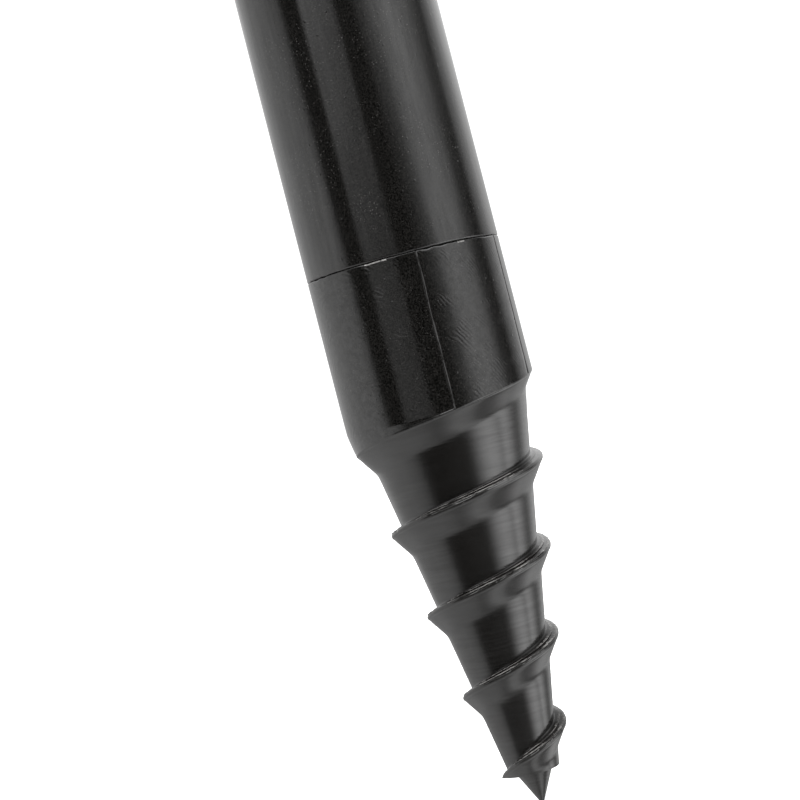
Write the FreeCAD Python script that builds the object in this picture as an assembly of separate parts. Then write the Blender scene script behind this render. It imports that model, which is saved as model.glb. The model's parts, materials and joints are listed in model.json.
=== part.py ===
import FreeCAD, Part  # this order matters: Part needs FreeCAD loaded first
import math
import os

# Screw-in post anchor.
#
# A round tube stands in the ground on a moulded screw tip. A head with a ground flange sits on the tube's
# top. A round post drops into the tube, stands on an inner stop, is centred by two bushes, and is held by
# three clamp screws with star knobs and swivel pads. A bar put through the head's cross holes turns the
# anchor into the ground, and a hinged lid closes the socket when no post is in it.
#
# Frame: +Z up along the tube, the ground line (under the flange) at z = 0, millimetres.
# Angles run from +X towards +Y, seen from above.

Vector = FreeCAD.Vector
Z_AXIS = Vector(0, 0, 1)
CENTRE = Vector(0, 0, 0)

# ---- Driving dimensions ------------------------------------------------------------------------------

# Whole anchor
BURIED_LENGTH = 420.0  # ground line down to the point
POST_DIAMETER = 48.0  # the round post that the socket takes

# Tube
TUBE_RADIUS = 30.0
TUBE_WALL = 4.0
TUBE_TOP = 40.0  # how far the tube stands up inside the head
NECK_RADIUS = 29.5  # the tube is turned down where it stands in the head
EDGE_BREAK = 0.35  # small chamfer on the two edges that meet at the seam

# Screw tip, heights measured up from the point
TIP_LENGTH = 171.0  # point to seam
POINT_LENGTH = 10.4
POINT_RADIUS = 5.75  # radius of the bare point where it meets the screw
POINT_ROUND = 0.8  # the point is blunt
CORE_RADIUS = 7.9  # root radius at the top of the bare point
CORE_SLOPE = 0.159  # root radius gained per millimetre of height
CREST_RADIUS = 11.4  # crest radius at the same height
CREST_SLOPE = 0.166
PITCH = 26.6  # right-hand thread
FIRST_CREST = 10.0  # height of the crest on the -X side, at the thread's cut start
CREST_LAND = 1.8  # flat on top of the thread
PUSH_FLANK = 0.71  # lower flank: radius gained per millimetre of height
HOLD_FLANK = 5.0  # upper flank, nearly square to the axis, which resists pulling out
GROOVE_START = -200.0  # groove angle below the bare point's top
RUNOUT_START = 1445.0  # groove angle where its floor begins to rise
RUNOUT_END = 1605.0
RUNOUT_RISE = 0.036  # millimetres per degree
GROOVE_STEP = 15.0  # degrees between the points of the groove's edges
GROOVE_PROUD = 0.45  # how far the groove cutter stands outside the crest

# Inside of the screw tip
SPIGOT_LENGTH = 45.0
SPIGOT_WALL = 5.0
SPIGOT_LEAD_IN = 2.0
CAVITY_FLOOR = 48.0  # height of the cavity's bottom above the point
CAVITY_FLOOR_RADIUS = 7.0
CAVITY_SHOULDER = 118.0  # above this height the cavity is a cylinder
RIB_THICKNESS = 3.0
RIB_ABOVE_SEAM = 2.0

# Post stop and bushes
FIT_GAP = 0.05  # radial gap of a snug fit
STOP_THICKNESS = 4.0
DRAIN_RADIUS = 4.0
DRAIN_CIRCLE = 15.0
DRAIN_COUNT = 4
POST_GAP = 0.3  # radial gap between post and bush
LOWER_BUSH_LENGTH = 40.0
UPPER_BUSH_BOTTOM = 61.5
BUSH_LIP_RADIUS = 28.5
BUSH_LIP_THICKNESS = 1.6
BUSH_TOP_EDGE = 0.5  # flat left at the lower bush's top, outside its lead-in cone
BUSH_LEAD_IN = 0.8

# Head
HEAD_RADIUS = 39.0
HEAD_TOP = 74.0
HEAD_EDGE = 2.0  # rounding of the head's top edge
FLANGE_RADIUS = 62.0
FLANGE_THICKNESS = 5.0
FLANGE_EDGE = 2.0
SEAT_GAP = 0.1  # between the tube's neck and its seat in the head
SEAT_LEAD_IN = 0.9  # chamfer at the seat's lower edge
GUSSET_COUNT = 8
GUSSET_THICKNESS = 4.0
GUSSET_REACH = 57.0
GUSSET_HEIGHT = 24.0
GUSSET_TOE = 1.5  # height of the gusset's outer end above the flange
HEAD_SCREW_COUNT = 4
HEAD_SCREW_HEIGHT = 34.0
HEAD_SCREW_RADIUS = 2.1
HEAD_SCREW_HEAD_RADIUS = 4.4
HEAD_SCREW_HEAD_HEIGHT = 2.8
HEAD_SCREW_END = 27.0  # radius at the screw's inner end
HEAD_SCREW_EDGE = 1.0  # rounding of the screw's head
DRIVE_WIDTH = 1.2  # the cross recess in the screw's head
DRIVE_LENGTH = 6.4
DRIVE_DEPTH = 1.2
SCREW_GAP = 0.05

# Cross holes for the bar that turns the anchor into the ground
BAR_HOLE_RADIUS = 8.3
BAR_HEIGHT = 22.0
BAR_BOSS_RADIUS = 12.0
BAR_BOSS_REACH = 44.0

# Clamp screws
CLAMP_ANGLES = (30.0, 150.0, 270.0)
CLAMP_HEIGHT = 52.0
CLAMP_TRAVEL = 6.0
CLAMP_BOSS_RADIUS = 13.0
CLAMP_BOSS_REACH = 47.0
STUD_RADIUS = 5.0
STUD_HOLE_RADIUS = 5.4
STUD_NUT_GAP = 0.05
STUD_EDGE = 0.8
NUT_FLATS = 16.0
NUT_THICKNESS = 8.0
NUT_OUTER_FACE = 38.0  # distance of the nut's outer face from the anchor's axis
NUT_POCKET_GAP = 0.15
NUT_CHAMFER = 1.6  # how far the cone at the nut's inner end cuts in from its corners
NUT_CHAMFER_LENGTH = 4.0  # length of that cone, most of it outside the hexagon
NUT_CHAMFER_WIDE = 2.2  # how far outside the corners the cone starts
PAD_FACE = 24.7  # distance of the pad's face from the anchor's axis, screw backed off
PAD_RADIUS = 7.4
PAD_THICKNESS = 4.4
PAD_EDGE = 0.6
PIVOT_RADIUS = 3.4
PIVOT_LENGTH = 2.4
PIVOT_GAP = 0.05
KNOB_CLEARANCE = 1.5  # between knob and boss with the screw fully in
KNOB_RADIUS = 18.0
KNOB_HEIGHT = 15.0
KNOB_HUB_RADIUS = 9.5
KNOB_HUB_HEIGHT = 7.0
KNOB_LOBES = 6
KNOB_SCALLOP_RADIUS = 5.5
KNOB_SCALLOP_CIRCLE = 20.5
KNOB_EDGE = 1.6
STUD_IN_KNOB = 16.0
KNOB_BORE_GAP = 0.03

# Lid
LID_RADIUS = 36.0
LID_THICKNESS = 4.0
LID_EDGE = 1.5
SEAL_THICKNESS = 1.5
SEAL_INNER_RADIUS = 29.5
SEAL_OUTER_RADIUS = 34.5
SEAL_GAP = 0.05
LID_TAB_WIDTH = 18.0
LID_TAB_REACH = 44.0
LID_TAB_CORNER = 3.0
LID_TAB_DROP = 1.0  # tab and hinge arm lie this much under the lid's top face
HINGE_Y = 44.0
HINGE_Z = 70.0
HINGE_PIN_RADIUS = 2.0
HINGE_PIN_GAP = 0.05
HINGE_KNUCKLE_RADIUS = 4.5
HINGE_KNUCKLE_HALF = 7.3
HINGE_EAR_GAP = 0.5
HINGE_EAR_THICKNESS = 6.0
HINGE_EAR_BOTTOM = 56.0
HINGE_PIN_HEAD_RADIUS = 3.2
HINGE_PIN_HEAD_LENGTH = 1.5

# ---- Worked out from them ----------------------------------------------------------------------------

POINT_Z = -BURIED_LENGTH
SEAM_Z = POINT_Z + TIP_LENGTH
TUBE_BORE = TUBE_RADIUS - TUBE_WALL
SPIGOT_TOP = SEAM_Z + SPIGOT_LENGTH
STOP_TOP = SPIGOT_TOP + STOP_THICKNESS
SOCKET_RADIUS = POST_DIAMETER / 2 + POST_GAP
NUT_CORNER_RADIUS = NUT_FLATS / 2 / math.cos(math.pi / 6)
STUD_START = PAD_FACE + PAD_THICKNESS
KNOB_START = CLAMP_BOSS_REACH + CLAMP_TRAVEL + KNOB_CLEARANCE


# ---- Helpers -----------------------------------------------------------------------------------------


def cylinder(radius, bottom, top):
    """A cylinder about the anchor's axis, from height bottom to height top."""
    return Part.makeCylinder(radius, top - bottom, Vector(0, 0, bottom), Z_AXIS)


def ring(inner, outer, bottom, top):
    """A round ring about the anchor's axis."""
    return cylinder(outer, bottom, top).cut(cylinder(inner, bottom - 1, top + 1))


def rod_x(radius, start, end, height=0.0):
    """A cylinder along +X from x = start to x = end, at that height."""
    return Part.makeCylinder(radius, end - start, Vector(start, 0, height), Vector(1, 0, 0))


def turned(edges):
    """The solid of revolution about Z of a closed outline of edges in the XZ plane."""
    face = Part.Face(Part.Wire(edges))
    return face.revolve(CENTRE, Z_AXIS, 360)


def lathe(points):
    """The solid of revolution about Z of a polygon of (radius, height) points."""
    corners = [Vector(r, 0, z) for r, z in points]
    return turned(list(Part.makePolygon(corners + corners[:1]).Edges))


def box_between(low, high):
    """A box from its lowest to its highest corner."""
    size = [h - l for l, h in zip(low, high)]
    return Part.makeBox(*size, Vector(*low))


def turned_to(shape, angle, height=0.0):
    """A copy of a shape that was made along +X, lifted to a height and turned about Z to an angle."""
    placed = shape.copy()
    placed.translate(Vector(0, 0, height))
    placed.rotate(CENTRE, Z_AXIS, angle)
    return placed


def fused(shapes):
    """One solid from several that overlap."""
    return shapes[0].multiFuse(shapes[1:]).removeSplitter()


def hex_prism_x(flats, start, end):
    """A hexagonal prism along +X, with two of its corners up and down."""
    corner = flats / 2 / math.cos(math.pi / 6)
    points = []
    for i in range(6):
        angle = math.radians(30 + 60 * i)
        points.append(Vector(start, corner * math.cos(angle), corner * math.sin(angle)))
    face = Part.Face(Part.makePolygon(points + points[:1]))
    return face.extrude(Vector(end - start, 0, 0))


# ---- Screw tip ---------------------------------------------------------------------------------------


def core_radius(height):
    """Root radius of the screw at a height above the point."""
    return CORE_RADIUS + CORE_SLOPE * (height - POINT_LENGTH)


def crest_radius(height):
    """Crest radius of the screw at a height above the point."""
    return CREST_RADIUS + CREST_SLOPE * (height - POINT_LENGTH)


def groove_section(angle):
    """The groove cutter's four corners (radius, height above the point) at one groove angle.

    The groove lies between the thread's crest at this angle and the same crest one turn further up.
    """
    crest = FIRST_CREST + PITCH * (angle - 180) / 360
    lift = max(0.0, angle - RUNOUT_START) * RUNOUT_RISE
    low_edge = crest + CREST_LAND / 2
    high_edge = crest + PITCH - CREST_LAND / 2
    low_depth = max(0.0, crest_radius(low_edge) - core_radius(low_edge) - lift)
    high_depth = max(0.0, crest_radius(high_edge) - core_radius(high_edge) - lift)
    foot_low = low_edge + low_depth / (HOLD_FLANK + CORE_SLOPE)
    foot_high = high_edge - high_depth / (PUSH_FLANK - CORE_SLOPE)
    floor_low = core_radius(foot_low) + lift
    floor_high = core_radius(foot_high) + lift
    return [
        (max(floor_low, crest_radius(low_edge)) + GROOVE_PROUD, low_edge - GROOVE_PROUD / HOLD_FLANK),
        (floor_low, foot_low),
        (floor_high, foot_high),
        (max(floor_high, crest_radius(high_edge)) + GROOVE_PROUD, high_edge + GROOVE_PROUD / PUSH_FLANK),
    ]


def groove_cutter():
    """The helical solid that is cut from the blank to leave the thread."""
    count = round((RUNOUT_END - GROOVE_START) / GROOVE_STEP)
    angles = [GROOVE_START + (RUNOUT_END - GROOVE_START) * i / count for i in range(count + 1)]
    tracks = [[], [], [], []]
    for angle in angles:
        turn = math.radians(angle)
        for track, (radius, height) in zip(tracks, groove_section(angle)):
            track.append(Vector(radius * math.cos(turn), radius * math.sin(turn), POINT_Z + height))
    edges = []
    for track in tracks:
        curve = Part.BSplineCurve()
        curve.interpolate(Points=track, Parameters=angles)
        edges.append(curve.toShape())
    faces = [Part.makeRuledSurface(edges[i], edges[(i + 1) % 4]) for i in range(4)]
    for end in (0, -1):
        corners = [track[end] for track in tracks]
        faces.append(Part.Face(Part.makePolygon(corners + corners[:1])))
    shell = Part.Shell(faces)
    shell.sewShape()
    cutter = Part.Solid(shell)
    if cutter.Volume < 0:
        cutter.reverse()
    return cutter


def screw_blank():
    """The tip before its thread is cut: point, crest cone, collar and spigot, on one axis."""
    point_slope = math.atan2(POINT_RADIUS, POINT_LENGTH)
    round_reach = POINT_ROUND * math.cos(point_slope)
    round_height = POINT_ROUND * (1 - math.sin(point_slope))
    shoulder = POINT_LENGTH + (TUBE_RADIUS - CREST_RADIUS) / CREST_SLOPE
    spigot = TUBE_BORE - FIT_GAP
    round_start = Vector(0, 0, POINT_Z)
    round_middle_angle = (math.pi / 2 + point_slope) / 2
    round_middle = Vector(
        POINT_ROUND * math.cos(round_middle_angle),
        0,
        POINT_Z + POINT_ROUND * (1 - math.sin(round_middle_angle)),
    )
    round_end = Vector(round_reach, 0, POINT_Z + round_height)
    outline = [
        round_end,
        Vector(POINT_RADIUS, 0, POINT_Z + POINT_LENGTH),
        Vector(CREST_RADIUS, 0, POINT_Z + POINT_LENGTH),
        Vector(TUBE_RADIUS, 0, POINT_Z + shoulder),
        Vector(TUBE_RADIUS, 0, SEAM_Z - EDGE_BREAK),
        Vector(TUBE_RADIUS - EDGE_BREAK, 0, SEAM_Z),
        Vector(spigot, 0, SEAM_Z),
        Vector(spigot, 0, SPIGOT_TOP - SPIGOT_LEAD_IN),
        Vector(spigot - SPIGOT_LEAD_IN / 2, 0, SPIGOT_TOP),
        Vector(0, 0, SPIGOT_TOP),
        round_start,
    ]
    edges = [Part.Arc(round_start, round_middle, round_end).toShape()]
    edges += list(Part.makePolygon(outline).Edges)
    return turned(edges)


def screw_cavity():
    """The four pockets that keep the moulding's walls even, open at the spigot's top."""
    bore = TUBE_BORE - FIT_GAP - SPIGOT_WALL
    round_pocket = lathe(
        [
            (0, POINT_Z + CAVITY_FLOOR),
            (CAVITY_FLOOR_RADIUS, POINT_Z + CAVITY_FLOOR),
            (bore, POINT_Z + CAVITY_SHOULDER),
            (bore, SPIGOT_TOP + 1),
            (0, SPIGOT_TOP + 1),
        ]
    )
    half = RIB_THICKNESS / 2
    rib_top = SEAM_Z + RIB_ABOVE_SEAM
    rib_x = box_between((-TUBE_RADIUS, -half, POINT_Z), (TUBE_RADIUS, half, rib_top))
    rib_y = box_between((-half, -TUBE_RADIUS, POINT_Z), (half, TUBE_RADIUS, rib_top))
    return round_pocket.cut(rib_x).cut(rib_y)


def screw_tip():
    return screw_blank().cut(groove_cutter()).cut(screw_cavity())


# ---- Tube and what stands inside it ------------------------------------------------------------------


def body_tube():
    tube = lathe(
        [
            (TUBE_BORE, SEAM_Z),
            (TUBE_RADIUS - EDGE_BREAK, SEAM_Z),
            (TUBE_RADIUS, SEAM_Z + EDGE_BREAK),
            (TUBE_RADIUS, 0),
            (NECK_RADIUS, 0),
            (NECK_RADIUS, TUBE_TOP),
            (TUBE_BORE, TUBE_TOP),
        ]
    )
    tube = tube.cut(rod_x(BAR_HOLE_RADIUS, -2 * TUBE_RADIUS, 2 * TUBE_RADIUS, BAR_HEIGHT))
    hole = rod_x(HEAD_SCREW_RADIUS + SCREW_GAP, TUBE_BORE - 2, TUBE_RADIUS + 2)
    for angle in head_screw_angles():
        tube = tube.cut(turned_to(hole, angle, HEAD_SCREW_HEIGHT))
    return tube


def post_stop():
    disc = cylinder(TUBE_BORE - FIT_GAP, SPIGOT_TOP, STOP_TOP)
    disc = disc.cut(cylinder(DRAIN_RADIUS, SPIGOT_TOP - 1, STOP_TOP + 1))
    for i in range(DRAIN_COUNT):
        drain = Part.makeCylinder(
            DRAIN_RADIUS / 2, STOP_THICKNESS + 2, Vector(DRAIN_CIRCLE, 0, SPIGOT_TOP - 1), Z_AXIS
        )
        disc = disc.cut(turned_to(drain, 45 + 360 * i / DRAIN_COUNT))
    return disc


def lower_bush():
    top = STOP_TOP + LOWER_BUSH_LENGTH
    outer = TUBE_BORE - FIT_GAP
    lead_in = outer - SOCKET_RADIUS - BUSH_TOP_EDGE
    return lathe(
        [
            (SOCKET_RADIUS, STOP_TOP),
            (outer, STOP_TOP),
            (outer, top),
            (outer - BUSH_TOP_EDGE, top),
            (SOCKET_RADIUS, top - 2 * lead_in),
        ]
    )


def upper_bush():
    return lathe(
        [
            (SOCKET_RADIUS, UPPER_BUSH_BOTTOM),
            (TUBE_BORE - FIT_GAP, UPPER_BUSH_BOTTOM),
            (TUBE_BORE - FIT_GAP, HEAD_TOP - BUSH_LIP_THICKNESS),
            (BUSH_LIP_RADIUS, HEAD_TOP - BUSH_LIP_THICKNESS),
            (BUSH_LIP_RADIUS, HEAD_TOP),
            (SOCKET_RADIUS + BUSH_LEAD_IN, HEAD_TOP),
            (SOCKET_RADIUS, HEAD_TOP - BUSH_LEAD_IN),
        ]
    )


# ---- Head --------------------------------------------------------------------------------------------


def head_screw_angles():
    """Around the head, each midway between two gussets."""
    return [45 + 360 * i / HEAD_SCREW_COUNT for i in range(HEAD_SCREW_COUNT)]


def gusset(angle):
    """A triangular rib from the flange up the head's side."""
    corners = [
        Vector(HEAD_RADIUS - 2, 0, FLANGE_THICKNESS - 1),
        Vector(GUSSET_REACH, 0, FLANGE_THICKNESS - 1),
        Vector(GUSSET_REACH, 0, FLANGE_THICKNESS + GUSSET_TOE),
        Vector(HEAD_RADIUS, 0, FLANGE_THICKNESS + GUSSET_HEIGHT),
        Vector(HEAD_RADIUS - 2, 0, FLANGE_THICKNESS + GUSSET_HEIGHT),
    ]
    face = Part.Face(Part.makePolygon(corners + corners[:1]))
    face.translate(Vector(0, -GUSSET_THICKNESS / 2, 0))
    return turned_to(face.extrude(Vector(0, GUSSET_THICKNESS, 0)), angle)


def hinge_ear(side):
    """One of the head's two ears that hold the lid's hinge pin; side is -1 or 1."""
    near = HINGE_KNUCKLE_HALF + HINGE_EAR_GAP
    start = near if side > 0 else -near - HINGE_EAR_THICKNESS
    outline = [
        Part.LineSegment(
            Vector(start, HINGE_Y + HINGE_KNUCKLE_RADIUS, HINGE_Z),
            Vector(start, HEAD_RADIUS - 1, HINGE_EAR_BOTTOM),
        ).toShape(),
        Part.LineSegment(
            Vector(start, HEAD_RADIUS - 1, HINGE_EAR_BOTTOM),
            Vector(start, TUBE_RADIUS + 2, HINGE_EAR_BOTTOM),
        ).toShape(),
        Part.LineSegment(
            Vector(start, TUBE_RADIUS + 2, HINGE_EAR_BOTTOM), Vector(start, TUBE_RADIUS + 2, HINGE_Z)
        ).toShape(),
        Part.LineSegment(
            Vector(start, TUBE_RADIUS + 2, HINGE_Z),
            Vector(start, HINGE_Y - HINGE_KNUCKLE_RADIUS, HINGE_Z),
        ).toShape(),
        Part.Arc(
            Vector(start, HINGE_Y - HINGE_KNUCKLE_RADIUS, HINGE_Z),
            Vector(start, HINGE_Y, HINGE_Z + HINGE_KNUCKLE_RADIUS),
            Vector(start, HINGE_Y + HINGE_KNUCKLE_RADIUS, HINGE_Z),
        ).toShape(),
    ]
    return Part.Face(Part.Wire(outline)).extrude(Vector(HINGE_EAR_THICKNESS, 0, 0))


def head_body():
    """Flange and barrel, with rounded edges, before anything is cut from them."""
    flange = cylinder(FLANGE_RADIUS, 0, FLANGE_THICKNESS)
    flange = flange.makeFillet(FLANGE_EDGE, [e for e in flange.Edges if edge_at(e, FLANGE_THICKNESS)])
    barrel = cylinder(HEAD_RADIUS, 0, HEAD_TOP)
    barrel = barrel.makeFillet(HEAD_EDGE, [e for e in barrel.Edges if edge_at(e, HEAD_TOP)])
    return [flange, barrel]


def edge_at(edge, height):
    """True if an edge lies flat at that height."""
    box = edge.BoundBox
    return abs(box.ZMin - height) < 1e-6 and abs(box.ZMax - height) < 1e-6


def head_cuts():
    """Everything that is taken out of the head."""
    seat = NECK_RADIUS + SEAT_GAP
    cuts = [
        cylinder(seat, -1, TUBE_TOP),
        Part.makeCone(seat + SEAT_LEAD_IN, seat, SEAT_LEAD_IN, CENTRE, Z_AXIS),
        cylinder(TUBE_BORE, TUBE_TOP - 1, HEAD_TOP + 1),
        cylinder(BUSH_LIP_RADIUS + FIT_GAP, HEAD_TOP - BUSH_LIP_THICKNESS, HEAD_TOP + 1),
        rod_x(BAR_HOLE_RADIUS, -FLANGE_RADIUS, FLANGE_RADIUS, BAR_HEIGHT),
        rod_x(HINGE_PIN_RADIUS + HINGE_PIN_GAP, -FLANGE_RADIUS, FLANGE_RADIUS),
    ]
    cuts[-1].translate(Vector(0, HINGE_Y, HINGE_Z))
    pocket = hex_prism_x(NUT_FLATS + 2 * NUT_POCKET_GAP, TUBE_BORE - 3, NUT_OUTER_FACE)
    stud_hole = rod_x(STUD_HOLE_RADIUS, TUBE_BORE, CLAMP_BOSS_REACH + 1)
    for angle in CLAMP_ANGLES:
        cuts.append(turned_to(pocket, angle, CLAMP_HEIGHT))
        cuts.append(turned_to(stud_hole, angle, CLAMP_HEIGHT))
    screw_hole = rod_x(HEAD_SCREW_RADIUS + SCREW_GAP, TUBE_RADIUS - 2, HEAD_RADIUS + 2)
    for angle in head_screw_angles():
        cuts.append(turned_to(screw_hole, angle, HEAD_SCREW_HEIGHT))
    return cuts


def head_housing():
    parts = head_body()
    parts += [gusset(360 * (i + 0.5) / GUSSET_COUNT) for i in range(GUSSET_COUNT)]
    parts += [hinge_ear(side) for side in (-1, 1)]
    bar_boss = rod_x(BAR_BOSS_RADIUS, TUBE_RADIUS + 2, BAR_BOSS_REACH)
    parts += [turned_to(bar_boss, angle, BAR_HEIGHT) for angle in (0, 180)]
    clamp_boss = rod_x(CLAMP_BOSS_RADIUS, TUBE_RADIUS + 2, CLAMP_BOSS_REACH)
    parts += [turned_to(clamp_boss, angle, CLAMP_HEIGHT) for angle in CLAMP_ANGLES]
    head = fused(parts)
    for cut in head_cuts():
        head = head.cut(cut)
    return head


def head_screws():
    """The four screws that fasten the head to the tube, with their heads proud of the barrel."""
    shank = rod_x(HEAD_SCREW_RADIUS, HEAD_SCREW_END, HEAD_RADIUS + 0.5)
    outer_face = HEAD_RADIUS + HEAD_SCREW_HEAD_HEIGHT
    head = rod_x(HEAD_SCREW_HEAD_RADIUS, HEAD_RADIUS, outer_face)
    head = head.makeFillet(HEAD_SCREW_EDGE, [e for e in head.Edges if e.BoundBox.XMin > HEAD_RADIUS + 1])
    slot = box_between(
        (outer_face - DRIVE_DEPTH, -DRIVE_WIDTH / 2, -DRIVE_LENGTH / 2),
        (outer_face + 1, DRIVE_WIDTH / 2, DRIVE_LENGTH / 2),
    )
    cross = slot.copy()
    cross.rotate(CENTRE, Vector(1, 0, 0), 90)
    screw = shank.fuse(head).removeSplitter().cut(slot).cut(cross)
    return Part.Compound([turned_to(screw, a, HEAD_SCREW_HEIGHT) for a in head_screw_angles()])


# ---- Clamp screws ------------------------------------------------------------------------------------


def clamp_nuts():
    nut = hex_prism_x(NUT_FLATS, NUT_OUTER_FACE - NUT_THICKNESS, NUT_OUTER_FACE)
    nut = nut.cut(rod_x(STUD_RADIUS + STUD_NUT_GAP, 0, FLANGE_RADIUS))
    cone_start = NUT_OUTER_FACE - NUT_THICKNESS + NUT_CHAMFER_LENGTH
    cone = Part.makeCone(
        NUT_CORNER_RADIUS + NUT_CHAMFER_WIDE,
        NUT_CORNER_RADIUS - NUT_CHAMFER,
        NUT_CHAMFER_LENGTH,
        Vector(cone_start, 0, 0),
        Vector(-1, 0, 0),
    )
    body = rod_x(NUT_CORNER_RADIUS + 1, cone_start, NUT_OUTER_FACE + 1)
    nut = nut.common(cone.fuse(body))
    return Part.Compound([turned_to(nut, angle, CLAMP_HEIGHT) for angle in CLAMP_ANGLES])


def clamp_pad():
    pad = rod_x(PAD_RADIUS, PAD_FACE, PAD_FACE + PAD_THICKNESS)
    pad = pad.makeChamfer(PAD_EDGE, [e for e in pad.Edges if e.BoundBox.XMax < PAD_FACE + 0.1])
    socket_start = PAD_FACE + PAD_THICKNESS - PIVOT_LENGTH - PIVOT_GAP
    return pad.cut(rod_x(PIVOT_RADIUS + PIVOT_GAP, socket_start, PAD_FACE + PAD_THICKNESS + 1))


def clamp_stud():
    stud = rod_x(STUD_RADIUS, STUD_START + PIVOT_GAP, KNOB_START + STUD_IN_KNOB)
    stud = stud.makeChamfer(STUD_EDGE, [e for e in stud.Edges if e.BoundBox.XMax < STUD_START + 1])
    return stud.fuse(rod_x(PIVOT_RADIUS, STUD_START - PIVOT_LENGTH, STUD_START + 1)).removeSplitter()


def clamp_knob():
    hub_end = KNOB_START + KNOB_HUB_HEIGHT
    hub = rod_x(KNOB_HUB_RADIUS, KNOB_START, hub_end + 1)
    disc = rod_x(KNOB_RADIUS, hub_end, hub_end + KNOB_HEIGHT)
    for i in range(KNOB_LOBES):
        turn = 2 * math.pi * i / KNOB_LOBES
        scallop = rod_x(KNOB_SCALLOP_RADIUS, hub_end - 1, hub_end + KNOB_HEIGHT + 1)
        scallop.translate(
            Vector(0, KNOB_SCALLOP_CIRCLE * math.cos(turn), KNOB_SCALLOP_CIRCLE * math.sin(turn))
        )
        disc = disc.cut(scallop)
    face_ends = (hub_end, hub_end + KNOB_HEIGHT)
    rim = [
        e
        for e in disc.Edges
        if any(abs(e.BoundBox.XMin - x) < 1e-6 and abs(e.BoundBox.XMax - x) < 1e-6 for x in face_ends)
    ]
    disc = disc.makeFillet(KNOB_EDGE, rim)
    knob = disc.fuse(hub).removeSplitter()
    bore_end = KNOB_START + STUD_IN_KNOB + KNOB_BORE_GAP
    return knob.cut(rod_x(STUD_RADIUS + KNOB_BORE_GAP, KNOB_START - 1, bore_end))


# ---- Lid ---------------------------------------------------------------------------------------------


def lid():
    bottom = HEAD_TOP + SEAL_GAP
    top = bottom + SEAL_THICKNESS + LID_THICKNESS
    disc = cylinder(LID_RADIUS, bottom, top)
    disc = disc.makeFillet(LID_EDGE, [e for e in disc.Edges if edge_at(e, top)])
    tab = box_between(
        (-LID_TAB_WIDTH / 2, -LID_TAB_REACH, top - LID_THICKNESS), (LID_TAB_WIDTH / 2, 0, top - LID_TAB_DROP)
    )
    corners = [e for e in tab.Edges if e.BoundBox.XLength < 1e-6 and e.BoundBox.YMax < -LID_TAB_REACH + 1]
    upright = [e for e in corners if e.BoundBox.YLength < 1e-6]
    tab = tab.makeFillet(LID_TAB_CORNER, upright)
    knuckle = Part.makeCylinder(
        HINGE_KNUCKLE_RADIUS,
        2 * HINGE_KNUCKLE_HALF,
        Vector(-HINGE_KNUCKLE_HALF, HINGE_Y, HINGE_Z),
        Vector(1, 0, 0),
    )
    arm_corners = [
        Vector(-HINGE_KNUCKLE_HALF, LID_RADIUS - 8, bottom + 1),
        Vector(-HINGE_KNUCKLE_HALF, HINGE_Y - 1.5, bottom),
        Vector(-HINGE_KNUCKLE_HALF, HINGE_Y, HINGE_Z),
        Vector(-HINGE_KNUCKLE_HALF, HINGE_Y + HINGE_KNUCKLE_RADIUS, HINGE_Z),
        Vector(-HINGE_KNUCKLE_HALF, HINGE_Y + HINGE_KNUCKLE_RADIUS, top - 2.5),
        Vector(-HINGE_KNUCKLE_HALF, HINGE_Y + HINGE_KNUCKLE_RADIUS - 2, top - LID_TAB_DROP),
        Vector(-HINGE_KNUCKLE_HALF, LID_RADIUS - 8, top - LID_TAB_DROP),
    ]
    arm = Part.Face(Part.makePolygon(arm_corners + arm_corners[:1]))
    arm = arm.extrude(Vector(2 * HINGE_KNUCKLE_HALF, 0, 0))
    whole = fused([disc, tab, knuckle, arm])
    whole = whole.cut(ring(SEAL_INNER_RADIUS, SEAL_OUTER_RADIUS, bottom - 1, bottom + SEAL_THICKNESS))
    bore = Part.makeCylinder(
        HINGE_PIN_RADIUS + HINGE_PIN_GAP,
        4 * HINGE_KNUCKLE_HALF,
        Vector(-2 * HINGE_KNUCKLE_HALF, HINGE_Y, HINGE_Z),
        Vector(1, 0, 0),
    )
    return whole.cut(bore)


def lid_seal():
    return ring(SEAL_INNER_RADIUS, SEAL_OUTER_RADIUS, HEAD_TOP, HEAD_TOP + SEAL_GAP + SEAL_THICKNESS)


def lid_hinge_pin():
    reach = HINGE_KNUCKLE_HALF + HINGE_EAR_GAP + HINGE_EAR_THICKNESS
    pin = rod_x(HINGE_PIN_RADIUS, -reach, reach)
    ends = [
        rod_x(HINGE_PIN_HEAD_RADIUS, reach, reach + HINGE_PIN_HEAD_LENGTH),
        rod_x(HINGE_PIN_HEAD_RADIUS, -reach - HINGE_PIN_HEAD_LENGTH, -reach),
    ]
    whole = fused([pin] + ends)
    whole.translate(Vector(0, HINGE_Y, HINGE_Z))
    return whole


# ---- Every sub-part ----------------------------------------------------------------------------------


def build():
    """Every sub-part by its node's name."""
    shapes = {
        "screw_tip": screw_tip(),
        "body_tube": body_tube(),
        "post_stop": post_stop(),
        "lower_bush": lower_bush(),
        "upper_bush": upper_bush(),
        "head_housing": head_housing(),
        "head_screws": head_screws(),
        "clamp_nuts": clamp_nuts(),
        "lid": lid(),
        "lid_seal": lid_seal(),
        "lid_hinge_pin": lid_hinge_pin(),
    }
    pad, stud, knob = clamp_pad(), clamp_stud(), clamp_knob()
    for number, angle in enumerate(CLAMP_ANGLES, start=1):
        shapes[f"clamp_pad_{number}"] = turned_to(pad, angle, CLAMP_HEIGHT)
        shapes[f"clamp_stud_{number}"] = turned_to(stud, angle, CLAMP_HEIGHT)
        shapes[f"clamp_knob_{number}"] = turned_to(knob, angle, CLAMP_HEIGHT)
    return shapes


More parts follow.
